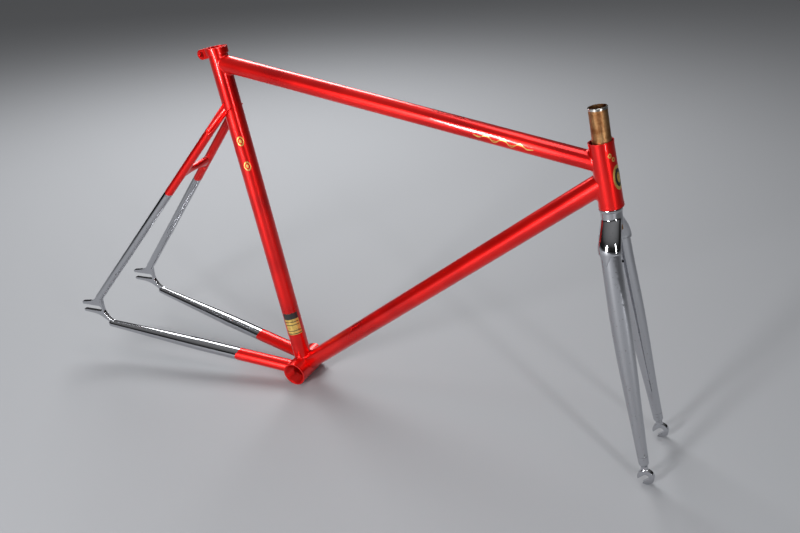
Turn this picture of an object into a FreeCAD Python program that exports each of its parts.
import FreeCAD, Part
import Sketcher
import math
import os

# Bare bicycle frameset with its fork standing loose in the head tube.
# Row frame: origin at the centre of the bottom bracket shell, +X forward,
# +Y to the rider's left, +Z up.  The frameset stands on the bottom bracket
# shell and the two fork ends, so its nose is a few degrees down.

os.makedirs("parts", exist_ok=True)
doc = FreeCAD.newDocument("frameset")
V = FreeCAD.Vector
UP = V(0, 0, 1)
LEFT = V(0, 1, 0)

SIZES = [
    # seat tube, measured from the shell centre along the tube
    ("seat_lean", 8.3, "degrees behind vertical"),
    ("seat_d", 28.6, "outside diameter"),
    ("seat_bore", 27.2, "seat post bore"),
    ("seat_bore_len", 250.0, "length of the seat post bore from the top rim"),
    ("seat_butt", 26.6, "bore of the thicker lower part"),
    ("seat_len", 545.0, "shell centre to the top rim"),
    ("seat_slot", 3.0, "width of the clamp slot"),
    ("seat_slot_len", 38.0, "depth of the clamp slot"),
    # head tube, from its lower rim
    ("head_x", 517.5, "lower rim forward of the shell"),
    ("head_z", 370.5, "lower rim above the shell"),
    ("head_lean", 11.8, "degrees behind vertical"),
    ("head_len", 88.0, "length"),
    ("head_d", 32.7, "outside diameter"),
    ("head_bore", 30.0, "headset bore"),
    ("head_band_d", 33.5, "raised end band diameter"),
    ("head_band_h", 4.0, "raised end band height"),
    # top and down tubes
    ("top_d", 25.4, "outside diameter"),
    ("top_seat_s", 522.5, "crossing point up the seat tube"),
    ("top_head_s", 57.2, "crossing point up the head tube"),
    ("down_d", 28.6, "outside diameter"),
    ("down_head_s", 36.4, "crossing point up the head tube"),
    ("main_wall", 1.0, "wall of the top and down tubes"),
    # bottom bracket shell
    ("shell_d", 40.0, "outside diameter"),
    ("shell_bore", 34.0, "threaded bore"),
    ("shell_w", 68.0, "width"),
    ("shell_lead", 1.0, "lead-in chamfer of the bore"),
    # chainstays
    ("cs_x0", 2.0, "axis start behind the shell centre"),
    ("cs_y0", 18.3, "axis start beside the centre plane"),
    ("cs_z0", 2.3, "axis start above the shell centre"),
    ("cs_x1", 362.5, "rear end behind the shell"),
    ("cs_y1", 63.0, "rear end beside the centre plane"),
    ("cs_z1", 40.2, "rear end above the shell"),
    ("cs_d", 22.0, "front diameter"),
    ("cs_tip_d", 13.0, "rear diameter"),
    ("cs_straight", 190.0, "length of the untapered part"),
    ("cs_wall", 1.0, "wall"),
    ("dimple_at", 78.0, "tyre dimple centre along the stay"),
    ("dimple_len", 62.0, "tyre dimple length"),
    ("dimple_high", 17.0, "tyre dimple height"),
    ("dimple_deep", 3.4, "tyre dimple depth"),
    # seat stays
    ("ss_x0", 102.5, "top end behind the shell"),
    ("ss_y0", 20.9, "top end beside the centre plane"),
    ("ss_z0", 410.4, "top end above the shell"),
    ("ss_x1", 379.6, "lower end behind the shell"),
    ("ss_y1", 62.6, "lower end beside the centre plane"),
    ("ss_z1", 89.8, "lower end above the shell"),
    ("ss_d", 13.4, "diameter"),
    ("ss_wall", 1.0, "wall"),
    ("ss_nose", 2.0, "length of the closed, chamfered lower end"),
    ("cap_len", 61.0, "length of the fluted cap"),
    ("flute_d", 13.6, "diameter of the cap's flute"),
    ("flute_start", 2.6, "depth of the flute at its rounded lower end"),
    ("flute_tip", 1.6, "metal left under the flute at the cap's tip"),
    ("bridge_at", 90.0, "bridge centre down the stay"),
    ("bridge_waist", 10.5, "bridge waist diameter"),
    ("bridge_flare", 40.0, "bridge end length along the stay"),
    # rear fork ends
    ("drop_x", 383.5, "slot end centre behind the shell"),
    ("drop_z", 67.5, "slot end centre above the shell"),
    ("drop_y", 63.0, "middle plane beside the centre plane"),
    ("drop_t", 6.0, "plate thickness"),
    ("drop_slot", 10.2, "axle slot width"),
    ("drop_tilt", 4.0, "slot slope, degrees down to the rear"),
    ("drop_round", 1.0, "rounding of the plate's outline"),
    # seat collar
    ("collar_d", 32.8, "outside diameter"),
    ("collar_h", 10.0, "height"),
    ("ear_back", 25.5, "binder hole behind the seat tube axis"),
    ("ear_down", 3.6, "binder hole below the collar's middle"),
    ("ear_r", 7.6, "ear radius"),
    ("ear_t", 4.6, "ear thickness"),
    ("binder_d", 8.2, "binder hole diameter"),
    # brazed fillets
    ("braze_main", 3.0, "fillet radius at the head and seat tube"),
    ("braze_shell", 3.2, "fillet radius at the shell"),
    # fork, measured down from the head tube's lower rim along the steerer
    ("fork_lean", 9.8, "degrees behind vertical"),
    ("steer_d", 25.4, "steerer diameter"),
    ("steer_bore", 22.2, "steerer bore"),
    ("steer_up", 44.0, "steerer above the head tube"),
    ("steer_thread", 40.0, "length of the headset thread"),
    ("steer_thread_d", 24.7, "pitch diameter of the thread"),
    ("crown_top", 0.8, "gap from the head tube to the crown"),
    ("race_d", 31.4, "crown race lip diameter"),
    ("race_h", 3.4, "crown race lip height"),
    ("neck_d", 29.0, "crown neck diameter"),
    ("neck_end", 24.0, "lower end of the neck"),
    ("steer_foot", 32.0, "lower end of the steerer"),
    ("blade_x", -0.5, "top of the blade ahead of the steerer axis"),
    ("axle_x", 16.0, "front axle ahead of the steerer axis"),
    ("axle_y", 53.3, "fork end beside the centre plane"),
    ("blade_top", 46.0, "upper end of the blade in the crown"),
    ("blade_end", 352.0, "lower end of the blade"),
    ("blade_wall", 1.1, "wall"),
    ("vent_s", 88.0, "vent hole down the blade"),
    ("vent_d", 4.0, "vent hole diameter"),
    ("socket_wall", 1.7, "crown socket wall"),
    ("socket_tip", 69.0, "lower point of the socket"),
    ("socket_bevel", 54.5, "where the socket's point starts to thin"),
    ("socket_edge", 0.5, "wall left at the socket's point"),
    ("point_slope", 61.0, "slope of the two edges of the socket's point, in degrees"),
    ("point_x", -4.6, "tip of the socket's point ahead of the steerer axis"),
    ("plug_len", 10.0, "solid plug between the blade and its bulb"),
    ("facet_turn", 17.0, "slope of the flat filed on the plug"),
    ("end_d", 24.0, "fork end disc diameter"),
    ("end_t", 6.6, "fork end thickness"),
    ("end_slot", 9.2, "fork end slot width"),
    ("end_turn", 38.0, "slot direction below the rearward line"),
]

sheet = doc.addObject("Spreadsheet::Sheet", "sizes")
for row, (alias, value, note) in enumerate(SIZES, start=1):
    sheet.set("A%d" % row, alias)
    sheet.set("B%d" % row, repr(value))
    sheet.set("C%d" % row, note)
    sheet.setAlias("B%d" % row, alias)
doc.recompute()


def size(alias):
    return float(sheet.get(alias))


def derive(alias, value, note):
    """Add a worked-out size to the sheet."""
    row = len(SIZES) + 1
    SIZES.append((alias, value, note))
    sheet.set("A%d" % row, alias)
    sheet.set("B%d" % row, "%.4f" % value)
    sheet.set("C%d" % row, note)
    sheet.setAlias("B%d" % row, alias)
    doc.recompute()


# ---------------------------------------------------------------- helpers

def prim(kind, name, place, **bound):
    """One Part primitive with its sizes bound to the sheet."""
    obj = doc.addObject("Part::" + kind, name)
    for prop, expr in bound.items():
        obj.setExpression(prop, expr)
    obj.Placement = place
    return obj


def cut(name, base, tool):
    obj = doc.addObject("Part::Cut", name)
    obj.Base = base
    obj.Tool = tool
    return obj


def cut_all(name, base, tools):
    """Take several solids out of one, last cut carrying the name."""
    for index, tool in enumerate(tools):
        last = index == len(tools) - 1
        base = cut(name if last else "%s_cut%d" % (name, index), base, tool)
    return base


def fuse(name, shapes):
    obj = doc.addObject("Part::MultiFuse", name)
    obj.Shapes = shapes
    return obj


def mirrored(name, source):
    """The left-hand copy of a right-hand piece."""
    obj = doc.addObject("Part::Mirroring", name)
    obj.Source = source
    obj.Normal = LEFT
    obj.Base = V(0, 0, 0)
    return obj


def leaned(lean, x=0.0, z=0.0):
    """Local Z leaned back from vertical in the centre plane."""
    return FreeCAD.Placement(V(x, 0, z), FreeCAD.Rotation(LEFT, -lean))


def aimed(start, end, along=0.0):
    """Local Z from one point towards another, local X kept near forward."""
    axis = (end - start).normalize()
    side = LEFT - axis * LEFT.dot(axis)
    side.normalize()
    turn = FreeCAD.Rotation(side.cross(axis), side, axis, "ZYX")
    return FreeCAD.Placement(start + axis * along, turn)


def shifted(place, x=0.0, y=0.0, z=0.0, turn=None):
    """A placement moved, and if asked turned, in its own axes."""
    return place.multiply(FreeCAD.Placement(V(x, y, z), turn or FreeCAD.Rotation()))


# ------------------------------------------------------------ main layout

seat_place = leaned(size("seat_lean"))
head_place = leaned(size("head_lean"), size("head_x"), size("head_z"))
seat_axis = seat_place.Rotation.multVec(UP)
head_axis = head_place.Rotation.multVec(UP)
shell_place = FreeCAD.Placement(V(0, -size("shell_w") / 2, 0), FreeCAD.Rotation(V(1, 0, 0), -90))

top_rear = seat_axis * size("top_seat_s")
top_front = head_place.Base + head_axis * size("top_head_s")
down_front = head_place.Base + head_axis * size("down_head_s")
top_place = aimed(top_rear, top_front)
down_place = aimed(V(0, 0, 0), down_front)
derive("top_len", (top_front - top_rear).Length, "between the crossing points")
derive("down_len", down_front.Length, "shell centre to the crossing point")

# Solid outsides of the tubes, used to mitre their neighbours.
head_solid = prim("Cylinder", "head_solid", head_place,
                  Radius="sizes.head_d / 2", Height="sizes.head_len")
seat_solid = prim("Cylinder", "seat_solid", seat_place,
                  Radius="sizes.seat_d / 2", Height="sizes.seat_len")
shell_solid = prim("Cylinder", "shell_solid", shell_place,
                   Radius="sizes.shell_d / 2", Height="sizes.shell_w")
top_solid = prim("Cylinder", "top_solid", top_place,
                 Radius="sizes.top_d / 2", Height="sizes.top_len")
down_solid = prim("Cylinder", "down_solid", down_place,
                  Radius="sizes.down_d / 2", Height="sizes.down_len")

# --------------------------------------------------------------- head tube

band_low = prim("Cylinder", "band_low", head_place,
                Radius="sizes.head_band_d / 2", Height="sizes.head_band_h")
band_high = prim("Cylinder", "band_high", shifted(head_place, z=size("head_len") - size("head_band_h")),
                 Radius="sizes.head_band_d / 2", Height="sizes.head_band_h")
head_bore = prim("Cylinder", "head_bore", shifted(head_place, z=-1),
                 Radius="sizes.head_bore / 2", Height="sizes.head_len + 2")
head_outer = fuse("head_outer", [head_solid, band_low, band_high])
head_tube = cut("head_tube", head_outer, head_bore)

# --------------------------------------------------- top, down, seat tubes

top_hollow = prim("Cylinder", "top_hollow", top_place,
                  Radius="sizes.top_d / 2 - sizes.main_wall", Height="sizes.top_len")
top_tube = cut_all("top_tube", top_solid, [top_hollow, head_solid, seat_solid])

down_hollow = prim("Cylinder", "down_hollow", down_place,
                   Radius="sizes.down_d / 2 - sizes.main_wall", Height="sizes.down_len")
down_tube = cut_all("down_tube", down_solid, [down_hollow, head_solid, shell_solid, seat_solid])

seat_post_bore = prim("Cylinder", "seat_post_bore",
                      shifted(seat_place, z=size("seat_len") - size("seat_bore_len")),
                      Radius="sizes.seat_bore / 2", Height="sizes.seat_bore_len + 1")
seat_butt = prim("Cylinder", "seat_butt_bore", seat_place,
                 Radius="sizes.seat_butt / 2", Height="sizes.seat_len")
slot_box = prim("Box", "slot_box",
                shifted(seat_place, -size("seat_d"), -size("seat_slot") / 2,
                        size("seat_len") - size("seat_slot_len")),
                Length="sizes.seat_d", Width="sizes.seat_slot", Height="sizes.seat_slot_len + 1")
slot_eye = prim("Cylinder", "slot_eye",
                shifted(seat_place, 0, 0, size("seat_len") - size("seat_slot_len"),
                        FreeCAD.Rotation(LEFT, -90)),
                Radius="sizes.seat_slot", Height="sizes.seat_d")
seat_tube = cut_all("seat_tube", seat_solid, [seat_butt, seat_post_bore, shell_solid, slot_box, slot_eye])

# ---------------------------------------------------- bottom bracket shell

shell_bore = prim("Cylinder", "shell_bore", shifted(shell_place, z=-1),
                  Radius="sizes.shell_bore / 2", Height="sizes.shell_w + 2")
lead_low = prim("Cone", "lead_low", shell_place,
                Radius1="sizes.shell_bore / 2 + sizes.shell_lead",
                Radius2="sizes.shell_bore / 2", Height="sizes.shell_lead")
lead_high = prim("Cone", "lead_high", shifted(shell_place, z=size("shell_w") - size("shell_lead")),
                 Radius1="sizes.shell_bore / 2",
                 Radius2="sizes.shell_bore / 2 + sizes.shell_lead", Height="sizes.shell_lead")
bottom_bracket_shell = cut_all("bottom_bracket_shell", shell_solid, [shell_bore, lead_low, lead_high])

# --------------------------------------------------------------- chainstays

cs_start = V(-size("cs_x0"), -size("cs_y0"), size("cs_z0"))
cs_end = V(-size("cs_x1"), -size("cs_y1"), size("cs_z1"))
cs_length = (cs_end - cs_start).Length
cs_place = aimed(cs_start, cs_end)
derive("cs_taper", cs_length - size("cs_straight"), "length of the tapered part")


def stay_solid(tag, wall):
    """Round stay with a tapered rear part and a domed tip, thinned by wall."""
    less = " - " + wall if wall else ""
    straight = prim("Cylinder", "cs_straight_" + tag, cs_place,
                    Radius="sizes.cs_d / 2" + less, Height="sizes.cs_straight")
    taper = prim("Cone", "cs_taper_" + tag, shifted(cs_place, z=size("cs_straight")),
                 Radius1="sizes.cs_d / 2" + less, Radius2="sizes.cs_tip_d / 2" + less,
                 Height="sizes.cs_taper")
    dome = prim("Sphere", "cs_dome_" + tag, shifted(cs_place, z=cs_length),
                Radius="sizes.cs_tip_d / 2" + less)
    return fuse("cs_solid_" + tag, [straight, taper, dome])


def dimple(tag, grow):
    """Ellipsoid pressed into the inner side of the stay for the tyre."""
    obj = doc.addObject("Part::Ellipsoid", "dimple_" + tag)
    more = " + " + grow if grow else ""
    obj.setExpression("Radius1", "sizes.dimple_deep" + more)
    obj.setExpression("Radius2", "sizes.dimple_len / 2" + more)
    obj.setExpression("Radius3", "sizes.dimple_high / 2" + more)
    inner = shifted(cs_place, 0, size("cs_d") / 2, size("dimple_at"))
    turn = FreeCAD.Rotation(V(0, 0, 1), V(0, 1, 0), V(1, 0, 0), "ZXY")
    obj.Placement = inner.multiply(FreeCAD.Placement(V(0, 0, 0), turn))
    return obj


cs_outer = cut("cs_outer", stay_solid("outer", ""), dimple("outer", ""))
cs_inner = cut("cs_inner", stay_solid("inner", "sizes.cs_wall"), dimple("inner", "sizes.cs_wall"))
chainstay_right = cut_all("chainstay_right", cs_outer, [cs_inner, shell_solid])
chainstay_left = mirrored("chainstay_left", chainstay_right)

# --------------------------------------------------------------- seat stays

ss_start = V(-size("ss_x0"), -size("ss_y0"), size("ss_z0"))
ss_end = V(-size("ss_x1"), -size("ss_y1"), size("ss_z1"))
ss_length = (ss_end - ss_start).Length
ss_place = aimed(ss_start, ss_end)
derive("ss_len", ss_length, "length of the seat stay")

ss_rod = prim("Cylinder", "ss_rod", ss_place, Radius="sizes.ss_d / 2",
              Height="sizes.ss_len - sizes.ss_nose")
ss_nose = prim("Cone", "ss_nose", shifted(ss_place, z=ss_length - size("ss_nose")),
               Radius1="sizes.ss_d / 2", Radius2="sizes.ss_d / 2 - 1.4", Height="sizes.ss_nose")
ss_hollow = prim("Cylinder", "ss_hollow", ss_place,
                 Radius="sizes.ss_d / 2 - sizes.ss_wall", Height="sizes.ss_len - sizes.ss_nose")
ss_outer = fuse("ss_outer", [ss_rod, ss_nose])
seatstay_right = cut("seatstay_right", ss_outer, ss_hollow)
seatstay_left = mirrored("seatstay_left", seatstay_right)

# The cap carries the stay's line on to the side of the seat tube and is
# hollowed from outside by a flute that runs out at its tip.
cap_rod = prim("Cylinder", "cap_rod", shifted(ss_place, z=-size("cap_len")),
               Radius="sizes.ss_d / 2", Height="sizes.cap_len")
flute_drop = size("ss_d") - size("flute_start") - size("flute_tip")
flute_slope = math.degrees(math.atan2(flute_drop, size("cap_len")))
flute_depth = (size("ss_d") + size("flute_d")) / 2 - size("flute_start")
flute_foot = shifted(ss_place, 0, -flute_depth, -size("flute_d") / 2 - 2,
                     FreeCAD.Rotation(V(1, 0, 0), flute_slope))
flute_rod = prim("Cylinder", "flute_rod", shifted(flute_foot, z=-1.5 * size("cap_len")),
                 Radius="sizes.flute_d / 2", Height="sizes.cap_len * 1.5")
flute_end = prim("Sphere", "flute_end", flute_foot, Radius="sizes.flute_d / 2")
flute = fuse("flute", [flute_rod, flute_end])
seatstay_cap_right = cut_all("seatstay_cap_right", cap_rod, [flute, seat_solid])
seatstay_cap_left = mirrored("seatstay_cap_left", seatstay_cap_right)

# ------------------------------------------------------------ stay bridge

bridge_mid = ss_start + (ss_end - ss_start).normalize() * size("bridge_at")
stay_slope = math.degrees(math.atan2(ss_start.x - ss_end.x, ss_start.z - ss_end.z))
bridge_place = FreeCAD.Placement(V(bridge_mid.x, 0, bridge_mid.z),
                                 FreeCAD.Rotation(LEFT, stay_slope))
reach = abs(bridge_mid.y)
# across the bridge as a share of its reach, and how much of the flare is reached there
BRIDGE = ((-1.0, 1.0), (-0.6, 0.3), (0.0, 0.0), (0.6, 0.3), (1.0, 1.0))
sections = []
for index, (across, share) in enumerate(BRIDGE):
    ring = doc.addObject("Part::Ellipse", "bridge_ring%d" % index)
    ring.setExpression("MajorRadius", "sizes.bridge_waist / 2 + 0.05"
                       " + %.2f * (sizes.bridge_flare - sizes.bridge_waist) / 2" % share)
    ring.setExpression("MinorRadius", "sizes.bridge_waist / 2 + %.2f" % (0.6 * share))
    # ellipse lies across the bridge with its long axis along the stays
    ring.Placement = shifted(bridge_place, 0, across * reach, 0,
                             FreeCAD.Rotation(V(0, 0, 1), V(1, 0, 0), V(0, 1, 0), "ZXY"))
    sections.append(ring)
bridge_loft = doc.addObject("Part::Loft", "bridge_loft")
bridge_loft.Sections = sections
bridge_loft.Solid = True
ss_outer_left = mirrored("ss_outer_left", ss_outer)
seatstay_bridge = cut_all("seatstay_bridge", bridge_loft, [ss_outer, ss_outer_left])

# -------------------------------------------------------------- seat collar


def plane_sketch(body, name, role):
    """A sketch on one of the body's own origin planes."""
    sketch = body.newObject("Sketcher::SketchObject", name)
    plane = [f for f in body.Origin.OriginFeatures if f.Role == role][0]
    sketch.AttachmentSupport = [(plane, "")]
    sketch.MapMode = "FlatFace"
    return sketch


def circle(sketch, name, x, y, expr):
    """A located circle whose radius follows the sheet."""
    index = sketch.addGeometry(Part.Circle(V(x, y, 0), UP, 5.0), False)
    radius = sketch.addConstraint(Sketcher.Constraint("Radius", index, 5.0))
    sketch.renameConstraint(radius, name)
    sketch.setExpression("Constraints." + name, expr)
    for axis, value in (("DistanceX", x), ("DistanceY", y)):
        sketch.addConstraint(Sketcher.Constraint(axis, -1, 1, index, 3, value))


def polygon(sketch, points):
    """A closed outline of straight edges joined corner to corner."""
    count = len(points)
    first = sketch.GeometryCount
    for index, (x, y) in enumerate(points):
        nx, ny = points[(index + 1) % count]
        sketch.addGeometry(Part.LineSegment(V(x, y, 0), V(nx, ny, 0)), False)
    for index in range(count):
        here = first + index
        there = first + (index + 1) % count
        sketch.addConstraint(Sketcher.Constraint("Coincident", here, 2, there, 1))


def pad(body, sketch, name, expr):
    """A pad both ways from the sketch plane."""
    obj = body.newObject("PartDesign::Pad", name)
    obj.Profile = sketch
    obj.setExpression("Length", expr)
    obj.Midplane = True
    return obj


def pocket(body, sketch, name, length):
    """A pocket both ways from the sketch plane."""
    obj = body.newObject("PartDesign::Pocket", name)
    obj.Profile = sketch
    obj.Length = length
    obj.Midplane = True
    return obj


collar = doc.addObject("PartDesign::Body", "seat_collar")
ring_sketch = plane_sketch(collar, "collar_ring", "XY_Plane")
circle(ring_sketch, "outside", 0, 0, "sizes.collar_d / 2")
pad(collar, ring_sketch, "collar_pad", "sizes.collar_h")

ear_sketch = plane_sketch(collar, "collar_ear", "XZ_Plane")
ear_x = -size("ear_back")
ear_z = -size("ear_down")
ear_r = size("ear_r")
root = size("collar_d") / 2 - 4.0
half = size("collar_h") / 2
arc = Part.ArcOfCircle(Part.Circle(V(ear_x, ear_z, 0), UP, ear_r),
                       math.radians(92), math.radians(275))
ear_top = arc.StartPoint
ear_low = arc.EndPoint
ear_sketch.addGeometry(arc, False)
ear_sketch.addGeometry(Part.LineSegment(ear_top, V(-root, half, 0)), False)
ear_sketch.addGeometry(Part.LineSegment(V(-root, half, 0), V(-root, -half - 4.2, 0)), False)
ear_sketch.addGeometry(Part.LineSegment(V(-root, -half - 4.2, 0), ear_low), False)
pad(collar, ear_sketch, "ear_pad", "sizes.seat_slot + 2 * sizes.ear_t")

bore_sketch = plane_sketch(collar, "collar_bore", "XY_Plane")
circle(bore_sketch, "bore", 0, 0, "sizes.seat_d / 2")
pocket(collar, bore_sketch, "bore_pocket", 80)
slot_sketch = plane_sketch(collar, "collar_slot", "XY_Plane")
slot_half = size("seat_slot") / 2
polygon(slot_sketch, [(-60, -slot_half), (-5, -slot_half), (-5, slot_half), (-60, slot_half)])
pocket(collar, slot_sketch, "slot_pocket", 80)
eye_sketch = plane_sketch(collar, "collar_eye", "XZ_Plane")
circle(eye_sketch, "binder", ear_x, ear_z, "sizes.binder_d / 2")
pocket(collar, eye_sketch, "eye_pocket", 60)
collar.Placement = shifted(seat_place, z=size("seat_len") - half)

# ---------------------------------------------------------- rear fork ends

drop_body = doc.addObject("PartDesign::Body", "drop_plate")
drop_sketch = plane_sketch(drop_body, "drop_outline", "XZ_Plane")
hw = size("drop_slot") / 2
# from the slot's upper wall round the upper arm, the stay's seat, the web ahead of
# the slot, the tab to the chainstay and the lower arm
OUTLINE = [(0, hw), (-38.2, hw), (-39.0, 8.2), (-37.4, 10.6), (-27, 12.0), (-16.5, 14.0), (-9, 16.4),
           (-3.6, 20), (0.9, 25.2), (11, 32), (16, 27.4), (10.6, 18.0), (9.4, 11), (8.8, 4),
           (8.6, -3.5), (9.6, -7.4), (14.6, -15.4), (22, -21.6), (34, -28.6), (34, -32.0), (23, -31.2),
           (16.6, -26.6), (9.6, -21.6), (-0.6, -15.2), (-8, -12.4), (-15.9, -11.2), (-28, -10.4),
           (-38.6, -9.8), (-39.6, -7.6), (-39.2, -hw), (0, -hw)]
polygon(drop_sketch, OUTLINE)
pad(drop_body, drop_sketch, "drop_pad", "sizes.drop_t")
end_sketch = plane_sketch(drop_body, "drop_slot_end", "XZ_Plane")
circle(end_sketch, "slot_end", 0, 0, "sizes.drop_slot / 2")
pocket(drop_body, end_sketch, "slot_end_pocket", 40)
doc.recompute()
corners = []
for number, edge in enumerate(drop_body.Shape.Edges, start=1):
    ends = edge.Vertexes
    if len(ends) != 2 or not isinstance(edge.Curve, Part.Line):
        continue
    along = ends[1].Point - ends[0].Point
    x, z = ends[0].X, ends[0].Z
    if abs(along.y) > size("drop_t") - 0.1 and not (abs(x) < 1 and abs(z) < hw + 0.5):
        corners.append((number, size("drop_round"), size("drop_round")))
drop_round = doc.addObject("Part::Fillet", "drop_round")
drop_round.Base = drop_body
drop_round.Edges = corners
drop_body.Placement = FreeCAD.Placement(V(-size("drop_x"), -size("drop_y"), size("drop_z")),
                                        FreeCAD.Rotation(LEFT, -size("drop_tilt")))
rear_dropout_right = cut_all("rear_dropout_right", drop_round, [cs_outer, ss_outer])
rear_dropout_left = mirrored("rear_dropout_left", rear_dropout_right)

# ---------------------------------------------------------- brazed fillets


def on_surface(point, solid):
    """Distance of a point from a primitive cylinder's curved side."""
    place = solid.Placement
    local = place.inverse().multVec(point)
    return abs(math.hypot(local.x, local.y) - float(solid.Radius))


def brazed(name, one, other, radius, others):
    """A ring of filler left at the joint of two tubes."""
    joined = fuse(name + "_joined", [one, other])
    doc.recompute()
    rounds = []
    for number, edge in enumerate(joined.Shape.Edges, start=1):
        probe = [edge.valueAt(edge.FirstParameter + share * (edge.LastParameter - edge.FirstParameter))
                 for share in (0.13, 0.37, 0.61, 0.89)]
        if all(on_surface(p, one) < 0.01 and on_surface(p, other) < 0.01 for p in probe):
            rounds.append((number, size(radius), size(radius)))
    filled = doc.addObject("Part::Fillet", name + "_filled")
    filled.Base = joined
    filled.Edges = rounds
    return cut_all(name, filled, [joined] + others)


braze_head_top = brazed("braze_head_top", head_solid, top_solid, "braze_main", [down_solid, band_high])
braze_head_down = brazed("braze_head_down", head_solid, down_solid, "braze_main",
                         [top_solid, braze_head_top, band_low])
braze_seat_top = brazed("braze_seat_top", seat_solid, top_solid, "braze_main", [])
braze_seat_shell = brazed("braze_seat_shell", shell_solid, seat_solid, "braze_shell", [down_solid])

# --------------------------------------------------------------------- fork

head_mid = head_place.Base + head_axis * (size("head_len") / 2)
fork_turn = FreeCAD.Rotation(LEFT, -size("fork_lean"))
fork_base = head_mid - fork_turn.multVec(UP) * (size("head_len") / 2)
fork_place = FreeCAD.Placement(fork_base, fork_turn)

derive("steer_len", size("head_len") + size("steer_up") + size("steer_foot"), "whole steerer")
# The fork ends stand on the floor that the shell rests on.
drop_to_floor = fork_base.z + size("shell_d") / 2 - size("end_d") / 2
lean = math.radians(size("fork_lean"))
derive("axle_s", (drop_to_floor + size("axle_x") * math.sin(lean)) / math.cos(lean),
       "front axle down the steerer axis")
steer_place = shifted(fork_place, z=-size("steer_foot"))
steer_plain = prim("Cylinder", "steer_plain", steer_place,
                   Radius="sizes.steer_d / 2", Height="sizes.steer_len - sizes.steer_thread")
steer_thread = prim("Cylinder", "steer_thread_rod", steer_place,
                    Radius="sizes.steer_thread_d / 2", Height="sizes.steer_len")
steer_solid = fuse("steer_solid", [steer_plain, steer_thread])
steer_hollow = prim("Cylinder", "steer_hollow", shifted(steer_place, z=-1),
                    Radius="sizes.steer_bore / 2", Height="sizes.steer_len + 2")
steerer_tube = cut("steerer_tube", steer_solid, steer_hollow)


def ring_at(name, s, x, y, along, across, grow=0.0):
    """Ellipse across the blade, s down the steerer axis."""
    ring = doc.addObject("Part::Ellipse", name)
    ring.MajorRadius = max(along, across) + grow
    ring.MinorRadius = min(along, across) + grow
    turn = FreeCAD.Rotation() if along >= across else FreeCAD.Rotation(UP, 90)
    ring.Placement = fork_place.multiply(FreeCAD.Placement(V(x, -y, -s), turn))
    return ring


def loft(name, rings):
    obj = doc.addObject("Part::Loft", name)
    obj.Sections = rings
    obj.Solid = True
    return obj


# Blade sections down the steerer axis: forward half width, side half width.
BLADE = [(size("blade_top"), 14.0, 9.8), (130.0, 14.0, 9.8), (200.0, 13.3, 9.5),
         (270.0, 10.6, 8.7), (320.0, 8.7, 7.9), (size("blade_end"), 7.8, 7.5)]


def blade_line(s):
    """Forward and sideways position of the blade's middle at depth s."""
    share = (s - size("blade_top")) / (size("axle_s") - size("blade_top"))
    forward = size("blade_x") + (size("axle_x") - size("blade_x")) * share ** 1.25
    out = 26.2 + (size("axle_y") - 26.2) * share
    return forward, out


def blade_loft(tag, thin):
    rings = []
    for index, (s, along, across) in enumerate(BLADE):
        x, y = blade_line(s)
        rings.append(ring_at("blade_%s%d" % (tag, index), s, x, y, along, across, -thin))
    return loft("blade_" + tag, rings)


blade_outer = blade_loft("outer", 0.0)
blade_inner = blade_loft("inner", size("blade_wall"))
vent_x, vent_y = blade_line(size("vent_s"))
vent = prim("Cylinder", "vent",
            shifted(fork_place, vent_x, -vent_y, -size("vent_s"), FreeCAD.Rotation(V(1, 0, 0), -90)),
            Radius="sizes.vent_d / 2", Height="30")
fork_blade_right = cut_all("fork_blade_right", blade_outer, [blade_inner, vent])
fork_blade_left = mirrored("fork_blade_left", fork_blade_right)

# Crown: neck with a race lip, sloping shoulders and pointed sockets.
neck = prim("Cylinder", "neck", shifted(fork_place, z=-size("neck_end")),
            Radius="sizes.neck_d / 2", Height="sizes.neck_end - sizes.crown_top")
lip = prim("Cylinder", "lip", shifted(fork_place, z=-size("crown_top") - size("race_h")),
           Radius="sizes.race_d / 2", Height="sizes.race_h")
wall = size("socket_wall")


def socket_ring(name, s, wall):
    """Ring round the blade inside the crown socket, its wall given."""
    x, y = blade_line(s)
    return ring_at(name, s, x, y, 14.0, 9.8, wall)


shoulder_rings = []
for index, (s, y, along, across) in enumerate(((15.0, 3.5, 13.6, 11.0), (27.0, 12.5, 14.3, 13.8),
                                               (40.0, 22.5, 15.4, 12.8))):
    share = min(1.0, (s - 15.0) / 30.0)
    shoulder_rings.append(ring_at("shoulder%d" % index, s, size("blade_x") * share, y, along, across))
shoulder_rings.append(socket_ring("socket_top", 48.0, wall))
shoulder_rings.append(socket_ring("socket_mid", size("socket_bevel"), wall))
shoulder_upper = loft("shoulder_upper", shoulder_rings)
# the point of the socket thins towards its tip, with a crease where it starts
point = loft("socket_point", [socket_ring("point_top", size("socket_bevel"), wall),
                              socket_ring("point_low", size("socket_tip") + 3, size("socket_edge"))])
slope = size("point_slope")


def notch(name, turn, back):
    """Slab that takes away the socket's end on one side of its point."""
    place = shifted(fork_place, size("point_x"), -60, -size("socket_tip"), FreeCAD.Rotation(LEFT, turn))
    return prim("Box", name, shifted(place, -back, 0, -60), Length="60", Width="120", Height="120")


point_cut = cut_all("point_cut", point, [notch("notch_front", 90 - slope, 0),
                                         notch("notch_rear", slope - 90, 60)])
shoulder_cut = fuse("shoulder_cut", [shoulder_upper, point_cut])
shoulder_left = mirrored("shoulder_left", shoulder_cut)
blade_outer_left = mirrored("blade_outer_left", blade_outer)
crown_whole = fuse("crown_whole", [neck, lip, shoulder_cut, shoulder_left])
fork_crown = cut_all("fork_crown", crown_whole, [steer_plain, blade_outer, blade_outer_left])

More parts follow.
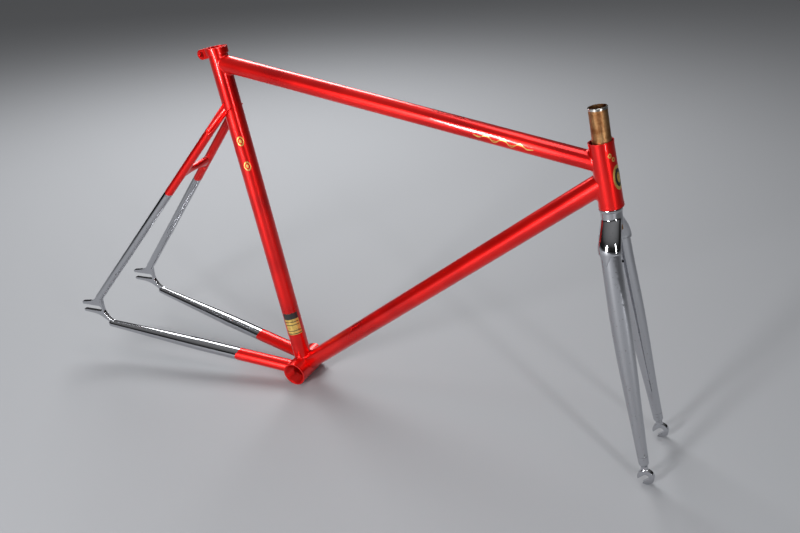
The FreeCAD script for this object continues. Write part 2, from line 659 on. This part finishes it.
# Fork end: round plate with an open slot and a neck closing the blade.
end_place = shifted(fork_place, size("axle_x"), -size("axle_y"), -size("axle_s"))
disc = prim("Cylinder", "disc",
            shifted(end_place, 0, -size("end_t") / 2, 0, FreeCAD.Rotation(V(1, 0, 0), -90)),
            Radius="sizes.end_d / 2", Height="sizes.end_t")
plug_x, plug_y = blade_line(size("blade_end"))
bulb_s = size("blade_end") + size("plug_len")
bulb_x, bulb_y = blade_line(bulb_s)
plug = loft("plug", [ring_at("plug_top", size("blade_end"), plug_x, plug_y, 7.8, 7.5),
                     ring_at("plug_low", bulb_s, bulb_x, bulb_y, 7.4, 7.3)])
bulb = loft("bulb", [ring_at("bulb0", bulb_s, bulb_x, bulb_y, 7.4, 7.3),
                     ring_at("bulb1", bulb_s + 3.0, bulb_x + 0.1, bulb_y + 0.1, 7.2, 7.1),
                     ring_at("bulb2", bulb_s + 6.0, bulb_x + 0.2, bulb_y + 0.2, 5.6, 5.6),
                     ring_at("bulb3", bulb_s + 7.6, bulb_x + 0.3, bulb_y + 0.3, 3.4, 3.4)])
# flat filed on the outer side of the plug, ending at the bulb
facet_place = shifted(fork_place, plug_x, -plug_y - 7.5, -size("blade_end"),
                      FreeCAD.Rotation(V(1, 0, 0), -size("facet_turn")))
facet = prim("Box", "facet", shifted(facet_place, -15, -20, -size("plug_len")),
             Length="30", Width="20", Height="sizes.plug_len")
tongue = loft("tongue", [ring_at("tongue0", bulb_s + 3, bulb_x, bulb_y + 0.3, 5.0, size("end_t") / 2),
                         ring_at("tongue1", size("axle_s") - 5, size("axle_x"), size("axle_y"), 5.6,
                                 size("end_t") / 2)])
slot_turn = FreeCAD.Rotation(LEFT, 180 - size("end_turn"))
fork_slot = prim("Box", "fork_slot",
                 shifted(end_place, 0, 0, 0, slot_turn).multiply(
                     FreeCAD.Placement(V(0, -10, -size("end_slot") / 2), FreeCAD.Rotation())),
                 Length="30", Width="20", Height="sizes.end_slot")
fork_eye = prim("Cylinder", "fork_eye",
                shifted(end_place, 0, -10, 0, FreeCAD.Rotation(V(1, 0, 0), -90)),
                Radius="sizes.end_slot / 2", Height="20")
plug_filed = cut("plug_filed", plug, facet)
end_whole = fuse("end_whole", [disc, plug_filed, bulb, tongue])
fork_end_right = cut_all("fork_end_right", end_whole, [fork_slot, fork_eye, blade_outer])
fork_end_left = mirrored("fork_end_left", fork_end_right)

# ------------------------------------------------------------------ export

doc.recompute()
NODES = [head_tube, top_tube, down_tube, seat_tube, collar, bottom_bracket_shell,
         chainstay_right, chainstay_left, seatstay_right, seatstay_left,
         seatstay_cap_right, seatstay_cap_left, seatstay_bridge,
         rear_dropout_right, rear_dropout_left,
         braze_head_top, braze_head_down, braze_seat_top, braze_seat_shell,
         steerer_tube, fork_crown, fork_blade_right, fork_blade_left,
         fork_end_right, fork_end_left]
for obj in doc.Objects:
    if "Invalid" in obj.State or "Error" in obj.State:
        raise RuntimeError("%s did not recompute: %s" % (obj.Name, obj.State))
for node in NODES:
    node.Label = node.Name
    shape = node.Shape
    if shape.isNull() or not shape.isValid():
        raise RuntimeError("%s has no sound shape" % node.Name)
    print("%-22s solids %d volume %.0f" % (node.Name, len(shape.Solids), shape.Volume))
    shape.exportStep("parts/%s.step" % node.Name)
